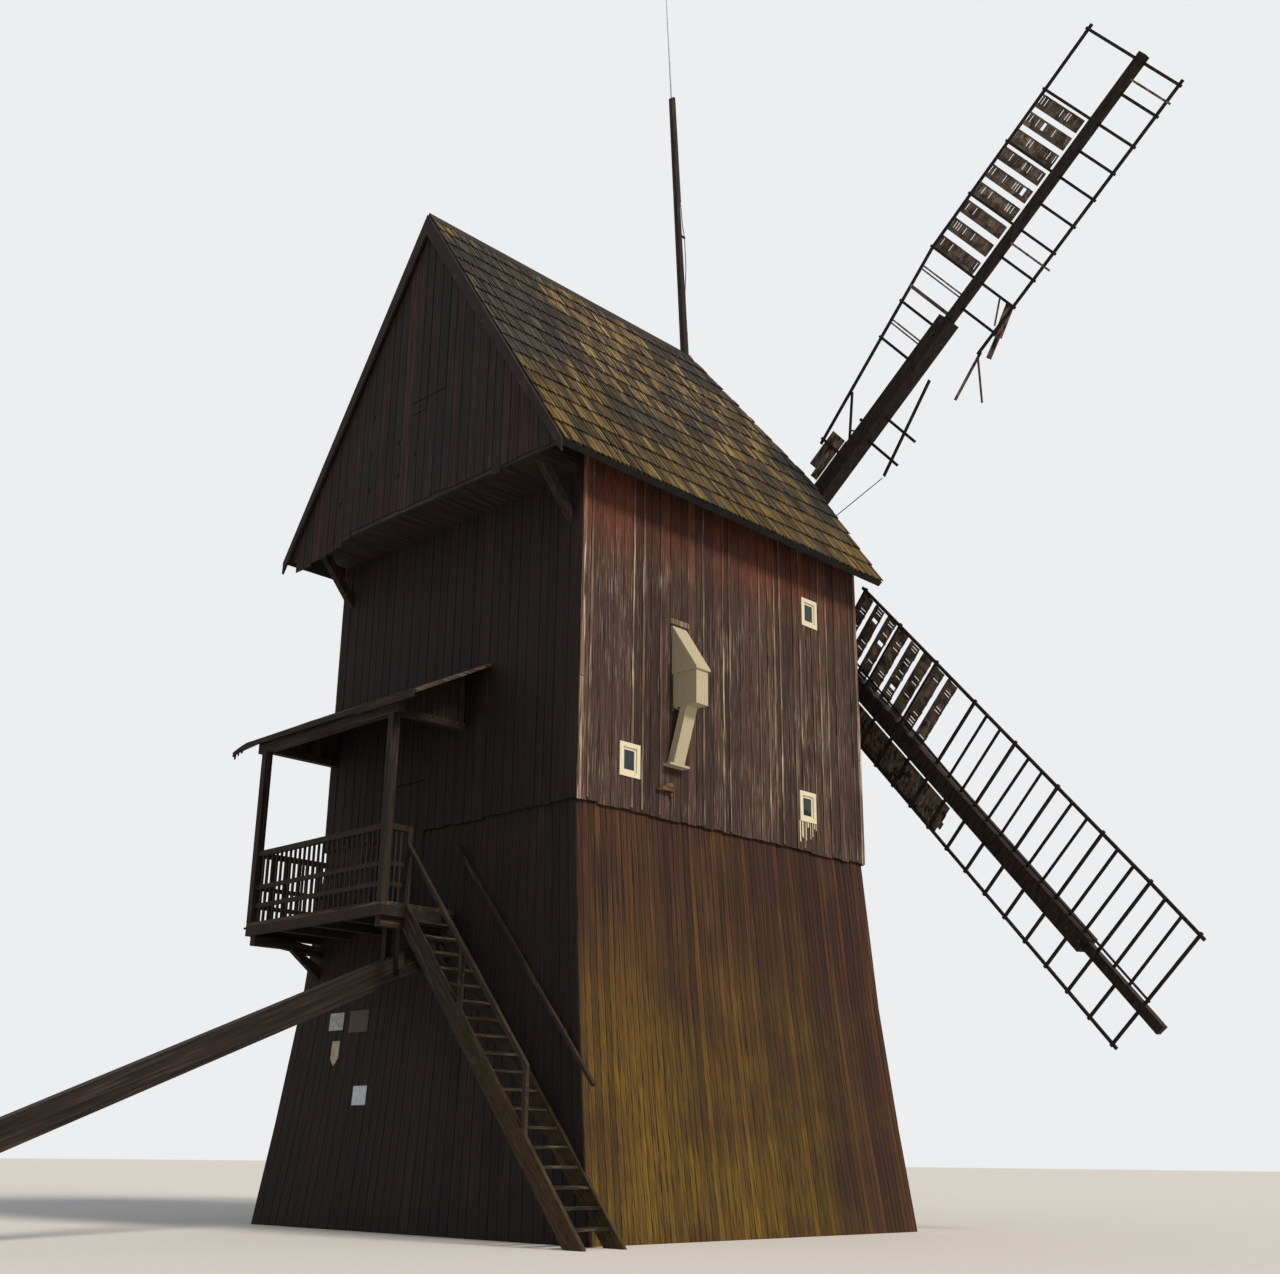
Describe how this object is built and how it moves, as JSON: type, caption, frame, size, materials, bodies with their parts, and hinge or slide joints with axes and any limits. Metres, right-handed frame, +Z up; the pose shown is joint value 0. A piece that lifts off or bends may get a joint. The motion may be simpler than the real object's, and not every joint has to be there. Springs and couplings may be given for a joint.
{
  "type": "traditional windmill",
  "caption": "Weathered timber post mill with a boarded skirt, a roofed balcony with an outside stair, a tail pole and four lattice sails on a turning windshaft.",
  "frame": {"origin": "underside of the cross sill, on the ground under the middle of the mill body", "axes": "+Z up, +Y towards the sails, -Y towards the balcony, the stair and the tail pole, +X towards the side wall with the feed chute"},
  "size_m": [17.4406, 15.3932, 22.3241],
  "materials": {
    "dark_timber": "matt",
    "side_boards": "matt",
    "roof_shingle": "matt",
    "sail_slats": "matt",
    "cream_paint": "matt",
    "window_glass": "gloss",
    "rod_steel": "satin",
    "plate_enamel": "satin"
  },
  "bodies": {
    "mill": {"balcony_floor": "dark_timber", "balcony_joists": "dark_timber", "balcony_posts": "dark_timber", "bargeboards": "dark_timber", "canopy_beams": "dark_timber", "canopy_cheeks": "dark_timber", "canopy_roof": "dark_timber", "chute_box": "cream_paint", "chute_duct": "cream_paint", "chute_hood": "cream_paint", "corner_posts": "dark_timber", "cross_sill": "dark_timber", "door_frame": "dark_timber", "door_leaf": "dark_timber", "eaves_plates": "dark_timber", "floor_beams": "dark_timber", "floors": "dark_timber", "gable_front": "dark_timber", "gable_rear": "dark_timber", "jetty_floor": "dark_timber", "jetty_struts": "dark_timber", "lightning_rod": "rod_steel", "mast": "dark_timber", "outriggers": "dark_timber", "railing_front": "dark_timber", "railing_left": "dark_timber", "railing_right": "dark_timber", "ridge_boards": "roof_shingle", "roof_hip": "roof_shingle", "roof_left": "roof_shingle", "roof_right": "roof_shingle", "shaft_beams": "dark_timber", "sill_beams": "dark_timber", "skirt_front": "side_boards", "skirt_rear": "dark_timber", "skirt_sides": "side_boards", "stair_rails": "dark_timber", "stair_stringers": "dark_timber", "stair_treads": "dark_timber", "tail_hangers": "dark_timber", "tail_pole": "dark_timber", "wall_front": "side_boards", "wall_plates": "plate_enamel", "wall_rear": "dark_timber", "wall_sides": "side_boards", "window_frames": "cream_paint", "window_panes": "window_glass"},
    "rotor": {"lattice_lower_left": "dark_timber", "lattice_lower_right": "dark_timber", "lattice_upper_left": "dark_timber", "lattice_upper_right": "dark_timber", "shutters": "sail_slats", "stocks": "dark_timber", "whips": "dark_timber", "windshaft": "dark_timber"}
  },
  "joints": [
    {"name": "windshaft_turn", "type": "hinge", "parent": "mill", "child": "rotor", "pos_m": [0, 4.037, 10.702], "axis": [0, 0.9975, 0.0711], "continuous": true}
  ]
}
